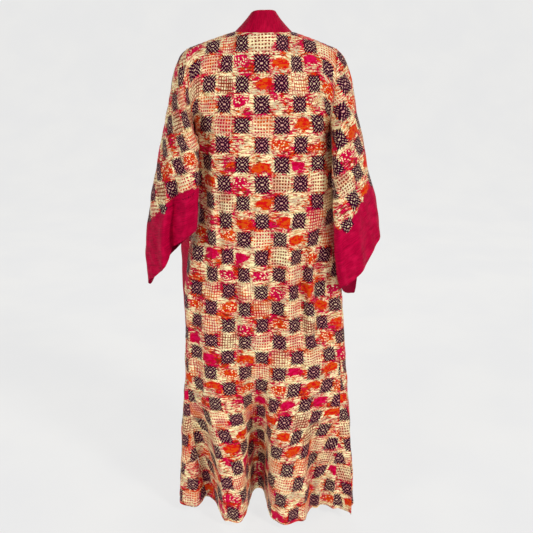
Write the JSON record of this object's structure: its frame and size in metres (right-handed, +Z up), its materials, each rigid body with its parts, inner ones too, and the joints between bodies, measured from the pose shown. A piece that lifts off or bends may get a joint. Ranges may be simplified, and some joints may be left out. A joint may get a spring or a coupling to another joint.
{
  "type": "long kimono robe",
  "caption": "Long open-front kimono robe of printed silk with wide hanging sleeves and a standing collar band, filled out as if worn, hollow, open at neck, front, sleeves and hem.",
  "frame": {"origin": "at the nape, level with the shoulder line, where the wearer's neck and shoulders carry the robe", "axes": "+Z up, the back of the robe faces -Y, the open front faces +Y, and the wearer's right is at +X"},
  "size_m": [0.6459, 0.352, 1.4635],
  "materials": {
    "printed_silk": "soft silk twill with a block print, low sheen",
    "crimson_silk": "plain dyed silk, low sheen"
  },
  "bodies": {
    "root": {"back": "printed_silk", "front_left": "printed_silk", "front_right": "printed_silk", "sleeve_left": "printed_silk", "sleeve_right": "printed_silk", "band": "crimson_silk"}
  },
  "joints": []
}
